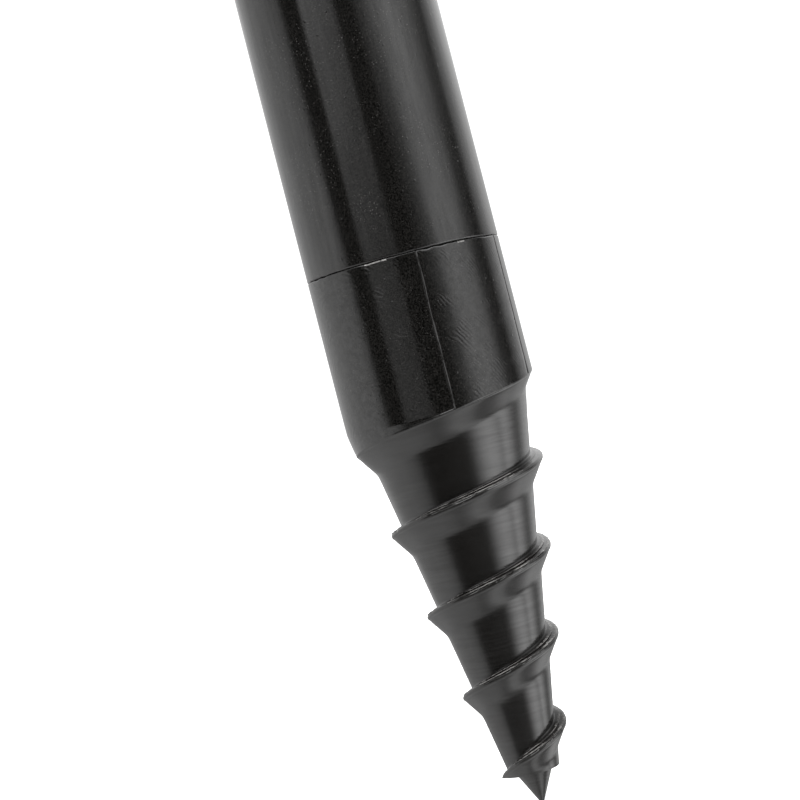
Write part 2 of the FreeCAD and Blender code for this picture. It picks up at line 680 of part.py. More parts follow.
os.makedirs("parts", exist_ok=True)
for name, shape in build().items():
    shape.exportStep(f"parts/{name}.step")
    solids = shape.Solids
    volume = sum(s.Volume for s in solids) / 1000
    print(f"{name}: {len(solids)} solids, {volume:.2f} cm3, valid {all(s.isValid() for s in solids)}")
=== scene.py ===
import json
import math
import bmesh
import bpy
import numpy as np
from mathutils import Matrix, Vector


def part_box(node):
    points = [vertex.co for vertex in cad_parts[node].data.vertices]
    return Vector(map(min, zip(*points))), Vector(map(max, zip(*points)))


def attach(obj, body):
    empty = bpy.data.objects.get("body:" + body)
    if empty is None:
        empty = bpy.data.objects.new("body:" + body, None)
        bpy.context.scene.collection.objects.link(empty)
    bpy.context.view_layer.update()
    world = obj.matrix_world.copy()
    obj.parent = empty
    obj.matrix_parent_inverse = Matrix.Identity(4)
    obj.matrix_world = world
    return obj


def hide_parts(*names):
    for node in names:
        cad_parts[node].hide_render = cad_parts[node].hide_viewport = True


# Looks of the screw-in post anchor. Lengths are in millimetres until a mesh is made, then in metres.
# Angles round the anchor run from +X towards +Y, seen from above; the camera stands on the -Y side.

MM = 0.001

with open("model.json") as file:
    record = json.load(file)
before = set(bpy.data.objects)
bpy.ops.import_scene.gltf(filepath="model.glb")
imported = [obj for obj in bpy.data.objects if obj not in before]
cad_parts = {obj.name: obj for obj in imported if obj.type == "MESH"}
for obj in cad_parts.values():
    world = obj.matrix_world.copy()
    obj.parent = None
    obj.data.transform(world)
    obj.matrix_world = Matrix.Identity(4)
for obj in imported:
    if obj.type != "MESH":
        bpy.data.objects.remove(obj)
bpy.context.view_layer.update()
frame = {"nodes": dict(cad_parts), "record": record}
nodes = frame["nodes"]

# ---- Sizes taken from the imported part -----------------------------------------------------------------

tube_low, tube_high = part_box("body_tube")
tip_low, tip_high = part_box("screw_tip")
stop_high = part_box("post_stop")[1]
TUBE_RADIUS = tube_high.x / MM
POINT_Z = tip_low.z / MM
SEAM_Z = tube_low.z / MM
TUBE_TOP = tube_high.z / MM
SPIGOT_TOP = tip_high.z / MM
SPIGOT_RADIUS = stop_high.x / MM
TUBE_WALL = 4.0
TUBE_BORE = TUBE_RADIUS - TUBE_WALL
SEAM_HEIGHT = SEAM_Z - POINT_Z

# Screw thread, heights measured up from the point
PITCH = 26.6
FIRST_CREST = 10.0
POINT_LENGTH = 10.4
POINT_RADIUS = 5.75
CORE_RADIUS = 7.9
CORE_SLOPE = 0.159
CORE_STEP_SLOPE = 0.182
CREST_RADIUS = 11.35
CREST_SLOPE = 0.166
CREST_LAND = 1.8
PUSH_FLANK = 0.71
HOLD_FLANK = 5.0
RUNOUT_START = 1445.0
RUNOUT_RISE = 0.036
COLLAR_START = 1590.0  # from this unwrapped angle on there is no groove left
COLLAR_EDGE = 2.0  # height under the seam that has its own fine rings
START_CUT = 1.6
CREST_ROUNDING = 0.5  # how much lower the edges of the crest's land lie than its middle
CORNER_SHARP = 0.3  # rounding of the corner above the thread where it is sharp
CORNER_ROUNDED = 1.2  # the same where it is rounded
SHARP_FROM = 222.0  # angle where a mould half starts to leave that corner sharp
SHARP_FADE = 22.0
HOLD_STEP = 0.24  # height of the small step halfway down the thread's upper side
STEP_DEPTH = 0.42  # how far down the thread's upper side the step lies, as a share of its depth
TORN_LIP = 0.36
TORN_GROOVE = 0.3
STEP_BEAD = 0.42

TIP_COLUMNS = 216
TUBE_COLUMNS = 240
NECK_RADIUS = 29.5
THREAD_PITCH = 1.5
BAR_HOLE_RADIUS = 8.3
BAR_HEIGHT = 22.0
SPIGOT_WALL = 5.0
CAVITY_BOTTOM = 48.0  # height above the point, as the next one
CAVITY_TAPER = 118.0  # where the cavity starts to narrow
CAVITY_END_RADIUS = 7.0
WITNESS_ANGLES = (277.3, 339.6, 97.3, 159.6)
WITNESS_WIDTH = 0.36  # degrees
WITNESS_RIDGE = 0.16
WITNESS_GROOVE = 0.4
WITNESS_DRIFT = 0.018  # degrees for each millimetre down the collar
WITNESS_OFFSETS = (-1.1, -0.75, -0.5, -0.3, -0.12, 0.06, 0.24, 0.45, 0.7, 1.1)  # columns round a witness line
MOULD_STEP = 0.15  # how much lower the skin lies on the near side of a raised witness line
RIM_RINGS = (1.5, 1.1, 0.85, 0.7, 0.6, 0.5, 0.42, 0.34, 0.26, 0.18, 0.09, 0.0)  # millimetres under the seam
TORN_SEAM = ((253.0, 5.5), (305.0, 2.0), (61.0, 5.0), (140.0, 7.0))  # angle, spread


# ---- Mesh helpers ------------------------------------------------------------------------------------


def add_mesh(name, points, faces, body, replaced=(), sharp=40.0):
    """A smooth-shaded mesh object in metres from points in millimetres, riding on a body."""
    mesh = bpy.data.meshes.new(name)
    mesh.from_pydata([tuple(np.asarray(p) * MM) for p in points], [], faces)
    mesh.validate()
    mesh.update()
    mesh.shade_smooth()
    mesh.set_sharp_from_angle(angle=math.radians(sharp))
    piece = bpy.data.objects.new(name, mesh)
    bpy.context.scene.collection.objects.link(piece)
    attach(piece, body)
    if replaced:
        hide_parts(*replaced)
    return piece


def soft_ramp(x, blend):
    """About max(x, 0), rounded over a length blend."""
    return (x + np.sqrt(x * x + blend * blend)) / 2


def soft_max(a, b, blend):
    """The larger of a and b, rounded where they meet."""
    return b + soft_ramp(a - b, blend)


def soft_min(a, b, blend):
    """The smaller of a and b, rounded where they meet."""
    return b - soft_ramp(b - a, blend)


def wander(phase, seed, scale=1.0):
    """A smooth wandering value between about -1 and 1; phase is in degrees and never repeats."""
    rng = np.random.default_rng(seed)
    total = np.zeros_like(np.asarray(phase, float))
    for octave in range(5):
        rate = scale * (1.0 + 1.7 * octave) * (1 + 0.3 * rng.random())
        total = total + np.sin(np.radians(phase) * rate + rng.random() * 6.28) / (1.3 + octave)
    return total / 1.7


# ---- Screw tip ---------------------------------------------------------------------------------------


def cone_line(height):
    """Crest line of the screw, which rounds over into the collar's cylinder."""
    blend = 1.2 - 1.0 * np.clip((height - 114) / 9, 0, 1)
    return soft_min(CREST_RADIUS + CREST_SLOPE * (height - POINT_LENGTH), TUBE_RADIUS, blend)


def crest_line(height, turned):
    """Crest radius at a height, lower just behind the point where the thread starts."""
    return cone_line(height) - START_CUT * np.exp(-(((turned - 210) / 45) ** 2))


def thread_phase(angle, height):
    """Unwrapped angle of the crest below a point, and the height above that crest."""
    turns = (height - FIRST_CREST) / PITCH - (angle - 180) / 360
    whole = np.floor(turns + 1e-7)
    return angle + 360 * whole, (turns - whole) * PITCH


def thread_radius(angle, height):
    """Radius of the screw tip at an angle in degrees and a height above the point."""
    turned, above = thread_phase(angle, height)
    below = PITCH - above
    low_crest = crest_line(height - above, turned)
    high_crest = crest_line(height + below, turned + 360)
    lift = RUNOUT_RISE * soft_ramp(turned - RUNOUT_START, 30)
    middle = height - above + PITCH / 2
    core = CORE_RADIUS + CORE_SLOPE * (middle - POINT_LENGTH) + CORE_STEP_SLOPE * (height - middle) + lift
    sharp = sharp_corner(angle)
    hold = low_crest - HOLD_FLANK * hold_side(above, low_crest - core, sharp) - nose(above)
    push = high_crest - PUSH_FLANK * soft_ramp(below - CREST_LAND / 2, 0.35) - nose(below)
    corner = CORNER_ROUNDED + (CORNER_SHARP - CORNER_ROUNDED) * sharp
    surface = soft_max(soft_max(core, hold, corner), push, 0.4)
    surface = soft_min(surface, cone_line(height), 0.06)
    return np.minimum(surface, TUBE_RADIUS)


def sharp_corner(angle):
    """1 where the corner above the thread is sharp and torn, 0 where the mould half leaves it rounded."""
    past = (angle - SHARP_FROM) % 180
    return np.clip(past / SHARP_FADE, 0, 1) * np.clip((180 - past) / SHARP_FADE, 0, 1)


def hold_side(above, depth, sharp):
    """How far up the thread's upper side a point is, not counting the small step halfway down it."""
    past_edge = soft_ramp(above - CREST_LAND / 2, 0.06)
    step_start = STEP_DEPTH * np.clip(depth, 1, 6) / HOLD_FLANK
    after_step = soft_ramp(past_edge - step_start - HOLD_STEP * sharp, 0.05)
    return past_edge - soft_ramp(past_edge - step_start, 0.05) + after_step


def nose(distance):
    """Rounding of the thread's crest, growing towards the edges of its land."""
    return CREST_ROUNDING * np.clip(np.abs(distance) / (CREST_LAND / 2), 0, 1) ** 2.5


def crest_lines(turned, height):
    """Heights above the crest of its upper edge and of the small step's lip."""
    edge = CREST_LAND / 2 - 0.04 + 0.06 * wander(turned, 7, 13)
    depth = CREST_RADIUS - CORE_RADIUS + (CREST_SLOPE - CORE_SLOPE) * height
    step = CREST_LAND / 2 + STEP_DEPTH * depth / HOLD_FLANK
    step = step + HOLD_STEP * (0.85 + 0.15 * wander(turned, 8, 5))
    return edge, step


def flash_share(angle, turned):
    """Strength of the torn lines along the crest: 0 in the runout, at the start and on rounded parts."""
    ends = np.clip((RUNOUT_START - turned) / 120, 0, 1) * np.clip((turned - 175) / 30, 0, 1)
    return ends * sharp_corner(angle)


def crest_flash(angle, height):
    """Ragged raised lines along the crest's upper edge and the step, and a shallow groove beside the edge."""
    turned, above = thread_phase(angle, height)
    edge, step = crest_lines(turned, height)
    ragged = 0.35 + 0.5 * wander(turned, 5, 9) + 0.4 * wander(turned, 6, 31) + 0.5 * wander(turned, 10, 70)
    lip = TORN_LIP * np.exp(-(((above - edge) / 0.11) ** 2)) * np.clip(ragged, 0.0, 1.3)
    groove = TORN_GROOVE * np.exp(-(((above - edge + 0.34) / 0.15) ** 2))
    bead = STEP_BEAD * np.exp(-(((above - step) / 0.09) ** 2)) * (0.8 + 0.2 * wander(turned, 9, 17))
    return flash_share(angle, turned) * (lip - groove + bead)


def collar_marks(angle, height):
    """Witness lines of the mould on the collar, and the slight unevenness of the moulded skin."""
    turned, above = thread_phase(angle, height)
    on_collar = np.clip((turned - COLLAR_START) / 20, 0, 1)
    ridge = 0
    for number, witness in enumerate(WITNESS_ANGLES):
        line = witness - WITNESS_DRIFT * (SEAM_HEIGHT - height) + 0.35 * wander(height * 5, 11 + number)
        worn = 0.65 + 0.6 * wander(height * 21, 51 + number)
        raised = number % 2 == 0
        strength = WITNESS_RIDGE * np.clip(worn, 0.1, 1.2) if raised else -WITNESS_GROOVE
        ridge = ridge + strength * np.exp(-(((angle - line) / WITNESS_WIDTH) ** 2))
        if raised:
            sunk = np.clip((angle - line + 16) / 9, 0, 1) * (angle < line)
            ridge = ridge - MOULD_STEP * sunk**2 * (3 - 2 * sunk)
    uneven = 0.03 * wander(angle * 1.7 + height * 3, 21) * wander(height * 9 - angle, 22)
    return on_collar * (ridge + uneven - 0.06)


def skin_radius(angle, height):
    """Radius of the tip's outer skin with all its small marks."""
    return thread_radius(angle, height) + crest_flash(angle, height) + collar_marks(angle, height)


def tip_angles():
    """Column angles, crowded round the witness lines."""
    angles = [360 * i / TIP_COLUMNS for i in range(TIP_COLUMNS)]
    for witness in WITNESS_ANGLES:
        angles = [a for a in angles if abs(a - witness) > 1.3]
        angles += [witness + offset for offset in WITNESS_OFFSETS]
    return np.array(sorted(angles))


def turn_rows():
    """Heights above the crest of one turn's rows: close on the crest, wider in the groove."""
    low_side = np.arange(-1.7, 0.5, 0.2)
    high_side = np.arange(0.5, 2.35, 0.07)
    groove = np.arange(2.4, PITCH - 9.3, 1.5)
    push_side = np.arange(PITCH - 9.1, PITCH - 1.9, 0.6)
    return np.concatenate([low_side, high_side, groove, push_side])


def tip_sheet(angles):
    """Points and faces of the screw's outer skin from the bare point's top to the seam.

    Rows follow the helix, so the end of one row joins the start of the row one turn further up.
    """
    turns = np.arange(-2, int(SEAM_HEIGHT / PITCH) + 2)
    starts = (FIRST_CREST - PITCH / 2 + PITCH * turns[:, None] + turn_rows()[None, :]).ravel()
    heights = starts[:, None] + PITCH * angles[None, :] / 360
    heights = np.clip(heights, POINT_LENGTH, SEAM_HEIGHT - COLLAR_EDGE)
    grid = np.broadcast_to(angles[None, :], heights.shape)
    radius = skin_radius(grid, heights)
    turn = np.radians(grid)
    points = np.stack([radius * np.cos(turn), radius * np.sin(turn), POINT_Z + heights], axis=-1)
    return heights, points


def screw_tip():
    """The moulded tip in one skin: point, thread, collar, spigot and cavity."""
    angles = tip_angles()
    columns = len(angles)
    heights, points = tip_sheet(angles)
    rows = len(heights)
    rows_in_turn = len(turn_rows())
    top = SEAM_HEIGHT - COLLAR_EDGE
    mesh = bmesh.new()
    grid = []
    lowest, highest = [None] * columns, [None] * columns
    for row in range(rows):
        line = []
        for column in range(columns):
            height = heights[row, column]
            if height <= POINT_LENGTH and lowest[column] is not None:
                line.append(lowest[column])
                continue
            if height >= top and highest[column] is not None:
                line.append(highest[column])
                continue
            vert = mesh.verts.new(points[row, column] * MM)
            if height <= POINT_LENGTH:
                lowest[column] = vert
            if height >= top:
                highest[column] = vert
            line.append(vert)
        grid.append(line)
    for row in range(rows - 1):
        for column in range(columns):
            last = column == columns - 1
            right, right_row = (0, row + rows_in_turn) if last else (column + 1, row)
            if right_row + 1 >= rows:
                continue
            corners = [grid[row][column], grid[right_row][right]]
            corners += [grid[right_row + 1][right], grid[row + 1][column]]
            corners = [v for i, v in enumerate(corners) if v not in corners[:i]]
            if len(corners) < 3:
                continue
            face = mesh.faces.new(corners)
            face.material_index = face_material(face)
    point_and_spigot(mesh, angles, lowest, highest)
    data = bpy.data.meshes.new("screw_tip_skin")
    mesh.to_mesh(data)
    mesh.free()
    data.shade_smooth()
    data.set_sharp_from_angle(angle=math.radians(38))
    piece = bpy.data.objects.new("screw_tip_skin", data)
    bpy.context.scene.collection.objects.link(piece)
    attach(piece, "anchor")
    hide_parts("screw_tip")
    for finish in (turned_plastic, flank_plastic, collar_plastic, crest_plastic_highlit, scuffed_and_highlit_edge, torn_plastic):
        data.materials.append(finish())
    return piece


TURNED, FLANK, COLLAR, CREST, WORN_AND_HIGHLIT, TORN = range(6)
FLASH_REACH = 2.4  # the torn lines lie no further above the crest than this
LINE_WIDTH = 0.1  # on each side of a torn line's middle
CREST_REACH = 1.2  # how far above the crest's middle its own finish goes
CREST_REACH_DOWN = 0.3
FLANK_RISE = 0.75  # how far outside the core a face is flank, not core


def face_material(face):
    """Which finish a face of the screw's skin has, from where its middle lies."""
    middle = face.calc_center_median() / MM
    angle = math.degrees(math.atan2(middle.y, middle.x)) % 360
    height = middle.z - POINT_Z
    turned, above = thread_phase(np.array(angle), np.array(height))
    turned, above = float(turned), float(above)
    if turned > COLLAR_START or middle.xy.length > TUBE_RADIUS - 0.5:
        return COLLAR
    # faces along the torn lines get the pale edge finish, which is partly scuffing and partly painted
    # highlight
    if above < FLASH_REACH and flash_share(angle, turned) > 0.4:
        edge, step = crest_lines(turned, height)
        if min(abs(above - edge - 0.03), abs(above - step)) < LINE_WIDTH:
            return WORN_AND_HIGHLIT
    # crest faces get the paler crest finish, which is partly painted highlight
    if above < CREST_REACH or PITCH - above < CREST_REACH_DOWN:
        return CREST
    core = CORE_RADIUS + CORE_SLOPE * (height - POINT_LENGTH)
    if middle.xy.length > core + FLANK_RISE:
        return FLANK
    return TURNED


def ring_of(mesh, angles, radius, height):
    """A ring of vertices, one for each column; radius is one number or one for each column."""
    turns = np.radians(angles)
    radii = np.broadcast_to(radius, turns.shape)
    return [
        mesh.verts.new((r * math.cos(a) * MM, r * math.sin(a) * MM, (POINT_Z + height) * MM))
        for r, a in zip(radii, turns)
    ]


def bridge(mesh, low, high, material):
    """Quads between two rings with the same columns; low lies under or inside high."""
    count = len(low)
    faces = []
    for i in range(count):
        j = (i + 1) % count
        face = mesh.faces.new((low[i], low[j], high[j], high[i]))
        face.material_index = material
        faces.append(face)
    return faces


def torn_share(angles):
    """How torn the seam's edge is at each angle: 1 in the middle of a torn place, 0 away from them."""
    share = sum(np.exp(-(((angles - middle) / spread) ** 2)) for middle, spread in TORN_SEAM)
    return np.clip(1.3 * share * (0.75 + 0.6 * wander(angles, 33, 37)), 0, 1)


def collar_rim(mesh, angles, below):
    """Fine rings up the last of the collar to its rounded edge, with torn flash along parts of the seam."""
    torn = torn_share(angles)
    chipped = np.clip(1.6 * wander(angles, 31, 7) + 0.1, 0, 1) * np.clip(0.6 + wander(angles, 34, 41), 0, 1)
    for under in RIM_RINGS:
        height = SEAM_HEIGHT - under
        edge = np.clip(1 - under / (0.3 + 0.6 * chipped), 0, 1)
        rough = 0.7 + 0.6 * wander(angles * 3 + under * 300, 35, 23)
        burr = 0.26 * torn * rough * np.exp(-(((under - 0.35) / 0.2) ** 2))
        radius = skin_radius(angles, height) - edge**2 * (0.35 + 0.4 * chipped) + burr
        ring = ring_of(mesh, angles, radius, height)
        for index, face in enumerate(bridge(mesh, below, ring, COLLAR)):
            if torn[index] > 0.25 and 0.1 < under < 0.6:
                face.material_index = TORN
        below = ring
    return below


def point_and_spigot(mesh, angles, lowest, highest):
    """The bare point under the screw, and the spigot that stands up inside the tube."""
    blunt = 0.75
    slope = math.atan2(POINT_RADIUS, POINT_LENGTH)
    rings = []
    for step in range(1, 6):
        lean = (math.pi / 2 - slope) * step / 5
        rings.append((blunt * math.sin(lean), blunt * (1 - math.cos(lean))))
    start_radius, start_height = rings[-1]
    for step in range(1, 13):
        share = step / 12
        radius = start_radius + (POINT_RADIUS - start_radius) * share
        rings.append((radius, start_height + (POINT_LENGTH - start_height) * share))
    apex = mesh.verts.new((0, 0, POINT_Z * MM))
    below = None
    for radius, height in rings:
        ring = ring_of(mesh, angles, radius, height)
        if below is None:
            for i in range(len(ring)):
                face = mesh.faces.new((apex, ring[(i + 1) % len(ring)], ring[i]))
                face.material_index = TURNED
        else:
            bridge(mesh, below, ring, TURNED)
        below = ring
    bridge(mesh, below, lowest, FLANK)
    below = collar_rim(mesh, angles, highest)
    inner = SPIGOT_RADIUS - SPIGOT_WALL
    profile = [
        (SPIGOT_RADIUS, SEAM_HEIGHT),
        (SPIGOT_RADIUS, SPIGOT_TOP - POINT_Z - 2),
        (SPIGOT_RADIUS - 1, SPIGOT_TOP - POINT_Z),
        (inner, SPIGOT_TOP - POINT_Z),
        (inner, CAVITY_TAPER),
        (CAVITY_END_RADIUS, CAVITY_BOTTOM),
    ]
    for radius, height in profile:
        ring = ring_of(mesh, angles, radius, height)
        bridge(mesh, below, ring, FLANK)
        below = ring
    bottom = mesh.verts.new((0, 0, (POINT_Z + CAVITY_BOTTOM) * MM))
    for i in range(len(below)):
        face = mesh.faces.new((below[i], below[(i + 1) % len(below)], bottom))
        face.material_index = FLANK


# ---- Tube --------------------------------------------------------------------------------------------


def body_tube():
    """The extruded tube, with an uneven cut lower edge, a turned neck in the head and holes for the bar."""
    angles = np.arange(TUBE_COLUMNS) * 360 / TUBE_COLUMNS
    levels = [0.0, 0.08, 0.18, 0.3, 0.45, 0.7, 1.2, 2.5]
    levels += list(np.arange(6.0, -SEAM_Z - 1, 5.0)) + [-SEAM_Z]
    profile = []
    for level in levels:
        edge = max(0.0, 1 - level / 0.5)
        ragged = 0.34 * np.abs(wander(angles, 41, 19)) * edge
        wave = 0.03 * wander(angles * 2 + level * 0.4, 42) * min(1, level / 3) - 0.03
        radius = np.minimum(TUBE_RADIUS - 0.4 * edge**2 - ragged + wave, TUBE_RADIUS)
        profile.append((radius, SEAM_Z + level))
    profile += [(NECK_RADIUS, 0), (NECK_RADIUS, TUBE_TOP), (TUBE_BORE, TUBE_TOP), (TUBE_BORE, SEAM_Z)]
    points, faces = [], []
    turn = np.radians(angles)
    for radius, height in profile:
        radii = np.broadcast_to(radius, turn.shape)
        heights = np.full(turn.shape, height)
        points += list(np.stack([radii * np.cos(turn), radii * np.sin(turn), heights], axis=-1))
    rings, count = len(profile), len(angles)
    for ring in range(rings):
        following = (ring + 1) % rings
        for i in range(count):
            j = (i + 1) % count
            faces.append((ring * count + i, ring * count + j, following * count + j, following * count + i))
    piece = add_mesh("body_tube_skin", points, faces, "anchor", ["body_tube"], 50)
    bore_through(piece, BAR_HOLE_RADIUS, BAR_HEIGHT)
    piece.data.materials.append(tube_plastic())
    return piece


def bore_through(piece, radius, height):
    """Cuts a hole along X right through a piece."""
    cutter_mesh = bpy.data.meshes.new("cutter")
    shape = bmesh.new()
    across = 4 * TUBE_RADIUS * MM
    bmesh.ops.create_cone(
        shape, cap_ends=True, segments=64, radius1=radius * MM, radius2=radius * MM, depth=across
    )
    bmesh.ops.rotate(shape, verts=shape.verts, matrix=Matrix.Rotation(math.pi / 2, 3, "Y"))
    bmesh.ops.translate(shape, verts=shape.verts, vec=(0, 0, height * MM))
    shape.to_mesh(cutter_mesh)
    shape.free()
    cutter = bpy.data.objects.new("cutter", cutter_mesh)
    bpy.context.scene.collection.objects.link(cutter)
    change = piece.modifiers.new("hole", "BOOLEAN")
    change.object = cutter
    change.operation = "DIFFERENCE"
    change.solver = "EXACT"
    bpy.context.view_layer.update()
    cut = bpy.data.meshes.new_from_object(piece.evaluated_get(bpy.context.evaluated_depsgraph_get()))
    piece.modifiers.clear()
    piece.data = cut
    cut.set_sharp_from_angle(angle=math.radians(50))
    bpy.data.objects.remove(cutter)


# ---- Materials ---------------------------------------------------------------------------------------


class NodeTree:
    """Short ways to add, link and calculate with shader nodes in self.tree."""

    def node(self, kind, **settings):
        made = self.tree.nodes.new(kind)
        for key, value in settings.items():
            setattr(made, key, value)
        return made

    def link(self, start, end):
        self.tree.links.new(start, end)

    def math(self, operation, a, b):
        """A math node; a and b are numbers or sockets."""
        made = self.node("ShaderNodeMath", operation=operation)
        for socket, value in zip(made.inputs, (a, b)):
            if isinstance(value, (int, float)):
                socket.default_value = value
            else:
                self.link(value, socket)
        return made.outputs["Value"]


class Shader(NodeTree):
    """Builds one procedural material."""

    def __init__(self, name, color, roughness, ior=1.5, metallic=0.0):
        self.material = bpy.data.materials.new(name)
        self.material.use_nodes = True
        self.tree = self.material.node_tree
        self.surface = self.tree.nodes["Principled BSDF"]
        self.surface.inputs["Base Color"].default_value = (*color, 1)
        self.surface.inputs["Roughness"].default_value = roughness
        self.surface.inputs["IOR"].default_value = ior
        self.surface.inputs["Metallic"].default_value = metallic
        self.place = self.node("ShaderNodeTexCoord").outputs["Object"]
        self.height = None
        self.paint = None

    def stretched(self, x, y, z):
        """Object coordinates with each axis scaled."""
        mapping = self.node("ShaderNodeMapping")
        mapping.inputs["Scale"].default_value = (x, y, z)
        self.link(self.place, mapping.inputs["Vector"])
        return mapping.outputs["Vector"]

    def noise(self, scale, detail=3.0, rough=0.5, place=None, distortion=0.0):
        noise = self.node("ShaderNodeTexNoise")
        noise.inputs["Scale"].default_value = scale
        noise.inputs["Detail"].default_value = detail
        noise.inputs["Roughness"].default_value = rough
        noise.inputs["Distortion"].default_value = distortion
        self.link(place or self.place, noise.inputs["Vector"])
        return noise.outputs["Fac"]

    def specks(self, scale, size, place=None):
        """1 at scattered points, 0 elsewhere."""
        cells = self.node("ShaderNodeTexVoronoi")
        cells.inputs["Scale"].default_value = scale
        self.link(place or self.place, cells.inputs["Vector"])
        return self.remap(cells.outputs["Distance"], 0.0, size, 1.0, 0.0)

    def ripples(self, scale, distortion, patches, share):
        """Bent parallel ripples in scattered patches that cover about that share of the surface."""
        bands = self.node("ShaderNodeTexWave", wave_type="BANDS", bands_direction="DIAGONAL")
        bands.inputs["Scale"].default_value = scale
        bands.inputs["Distortion"].default_value = distortion
        bands.inputs["Detail"].default_value = 2.0
        bands.inputs["Detail Scale"].default_value = 0.6
        self.link(self.place, bands.inputs["Vector"])
        edge = 0.66 - 0.3 * share
        patch = self.remap(self.noise(patches, 2, 0.5), edge, edge + 0.14, 0.0, 1.0)
        return self.math("MULTIPLY", bands.outputs["Fac"], patch)

    def remap(self, value, low, high, to_low, to_high):
        """Eases from to_low, where value is low, to to_high, where it is high."""
        remap = self.node("ShaderNodeMapRange", interpolation_type="SMOOTHSTEP")
        self.link(value, remap.inputs["Value"])
        for name, number in (("From Min", low), ("From Max", high), ("To Min", to_low), ("To Max", to_high)):
            remap.inputs[name].default_value = number
        return remap.outputs["Result"]

    def bump(self, value, depth_mm):
        """Adds a relief; depth_mm is the height of a change from 0 to 1."""
        scaled = self.math("MULTIPLY", value, depth_mm * MM)
        self.height = scaled if self.height is None else self.math("ADD", self.height, scaled)

    def color(self, value, first, second):
        """Base colour that goes from first to second with value."""
        self.paint = self.color_mix(value, second)
        self.paint.inputs["A"].default_value = (*first, 1)

    def color_mix(self, value, second):
        """A mix that paints the surface, with only its second colour set."""
        mix = self.node("ShaderNodeMix", data_type="RGBA")
        self.link(value, mix.inputs["Factor"])
        mix.inputs["B"].default_value = (*second, 1)
        self.link(mix.outputs["Result"], self.surface.inputs["Base Color"])
        return mix

    def dust(self, scale, size, color):
        """Scattered pale dots over the colour laid down before, denser in some patches."""
        patches = self.remap(self.noise(55, 3, 0.6), 0.4, 0.62, 0.1, 1.0)
        dots = self.math("MULTIPLY", self.specks(scale, size), patches)
        below = self.paint
        self.paint = self.color_mix(dots, color)
        self.link(below.outputs["Result"], self.paint.inputs["A"])

    def gloss(self, value, low, high):
        """Strength of the shine, from dusty to clean."""
        self.link(self.remap(value, 0.3, 0.7, low, high), self.surface.inputs["Specular IOR Level"])

    def roughness(self, value, low, high):
        """Roughness that goes from low to high with value."""
        self.link(self.remap(value, 0.0, 1.0, low, high), self.surface.inputs["Roughness"])

    def done(self):
        """The finished material, with its relief joined to the surface."""
        if self.height is not None:
            bump = self.node("ShaderNodeBump")
            bump.inputs["Strength"].default_value = 1.0
            bump.inputs["Distance"].default_value = 1.0
            self.link(self.height, bump.inputs["Height"])
            self.link(bump.outputs["Normal"], self.surface.inputs["Normal"])
        return self.material


CLEAN = (0.0006, 0.0006, 0.0005)
BLACK = (0.0028, 0.0026, 0.0023)
DUSTY = (0.0062, 0.0058, 0.0053)
GRAINY = (0.0084, 0.008, 0.0074)
DUST = (0.06, 0.058, 0.055)


def tube_plastic():
    """Extruded black plastic: lengthwise draw lines, small pits, a few scuffs and dust."""
    shader = Shader("tube_plastic", BLACK, 0.1)
    shader.bump(shader.noise(800, 2, 0.5, shader.stretched(1, 1, 0.01)), 0.003)
    shader.bump(shader.noise(60, 2, 0.4, shader.stretched(1, 1, 0.25)), 0.05)
    shader.bump(shader.noise(1100, 3, 0.6), 0.014)
    shader.bump(shader.specks(300, 0.13), 0.05)
    scuffs = shader.noise(45, 5, 0.65, shader.stretched(1, 1, 0.4))
    shader.roughness(scuffs, 0.03, 0.16)
    shader.gloss(shader.noise(400, 4, 0.75, shader.stretched(1, 1, 0.1)), 0.43, 0.57)
    shader.color(shader.remap(shader.noise(2500, 2, 0.6), 0.36, 0.66, 0.0, 1.0), CLEAN, GRAINY)
    shader.dust(1000, 0.25, DUST)
    return shader.done()


def collar_plastic():
    """Moulded skin of the collar: faint wrinkles, flow marks, specks and dust."""
    shader = Shader("collar_plastic", BLACK, 0.1)
    shader.bump(shader.noise(90, 3, 0.5, shader.stretched(1, 1, 0.6)), 0.06)
    shader.bump(shader.noise(1100, 3, 0.6, None, 1.0), 0.016)
    shader.bump(shader.ripples(380, 7.0, 110, 0.55), 0.028)
    shader.bump(shader.specks(330, 0.14), 0.05)
    worn = shader.noise(60, 4, 0.6)
    shader.roughness(worn, 0.03, 0.16)
    shader.gloss(shader.noise(500, 4, 0.75), 0.42, 0.58)
    shader.color(shader.remap(shader.noise(2500, 2, 0.6), 0.36, 0.66, 0.0, 1.0), CLEAN, GRAINY)
    shader.dust(1200, 0.28, (0.036, 0.035, 0.033))
    return shader.done()


def turned_plastic():
    """The screw's core: fine rings that run round the axis."""
    shader = Shader("turned_plastic", BLACK, 0.16)
    rings = shader.noise(40, 4, 0.6, shader.stretched(2.4, 2.4, 42))
    shader.bump(rings, 0.036)
    shader.bump(shader.noise(1000, 2, 0.5), 0.004)
    shader.roughness(rings, 0.08, 0.22)
    shader.gloss(shader.noise(40, 3, 0.7, shader.stretched(1.2, 1.2, 34)), 0.43, 0.57)
    shader.color(shader.noise(70, 4, 0.6), BLACK, DUSTY)
    return shader.done()


def flank_plastic():
    """The thread's flanks: even satin plastic with a faint grain."""
    shader = Shader("flank_plastic", BLACK, 0.22)
    shader.bump(shader.noise(900, 3, 0.5), 0.006)
    worn = shader.noise(80, 4, 0.6)
    shader.roughness(worn, 0.15, 0.26)
    shader.gloss(shader.noise(40, 3, 0.7, shader.stretched(1.5, 1.5, 20)), 0.46, 0.54)
    shader.color(worn, BLACK, DUSTY)
    return shader.done()


